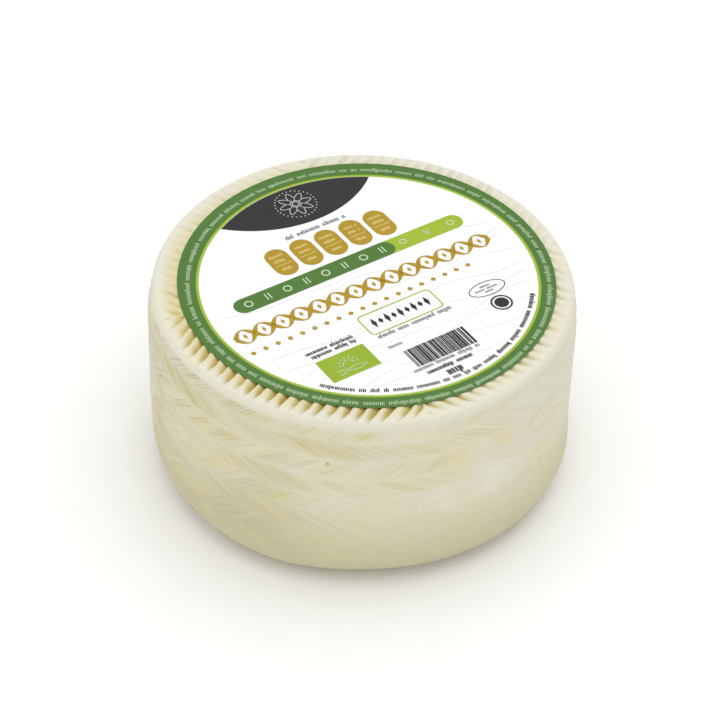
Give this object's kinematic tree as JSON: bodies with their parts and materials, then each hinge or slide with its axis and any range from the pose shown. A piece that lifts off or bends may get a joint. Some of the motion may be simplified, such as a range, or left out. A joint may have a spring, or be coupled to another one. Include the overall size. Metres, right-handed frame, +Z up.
{
  "type": "goat cheese wheel",
  "caption": "Small drum-shaped pressed goat cheese with a herringbone imprint round its side, grooved top edge and a round paper label on top.",
  "frame": {"origin": "centre of the flat underside, on the surface that the wheel stands on", "axes": "+Z up along the wheel's axis; +X to the right as the label is read; +Y towards the label's top"},
  "size_m": [0.0992, 0.0992, 0.0507],
  "materials": {
    "cheese": "soft satin rind, ivory with golden lines in the grooves",
    "label": "smooth coated paper, white with green, lime, gold and charcoal print"
  },
  "bodies": {
    "root": {"cheese_wheel": "cheese", "paper_label": "label"}
  },
  "joints": []
}
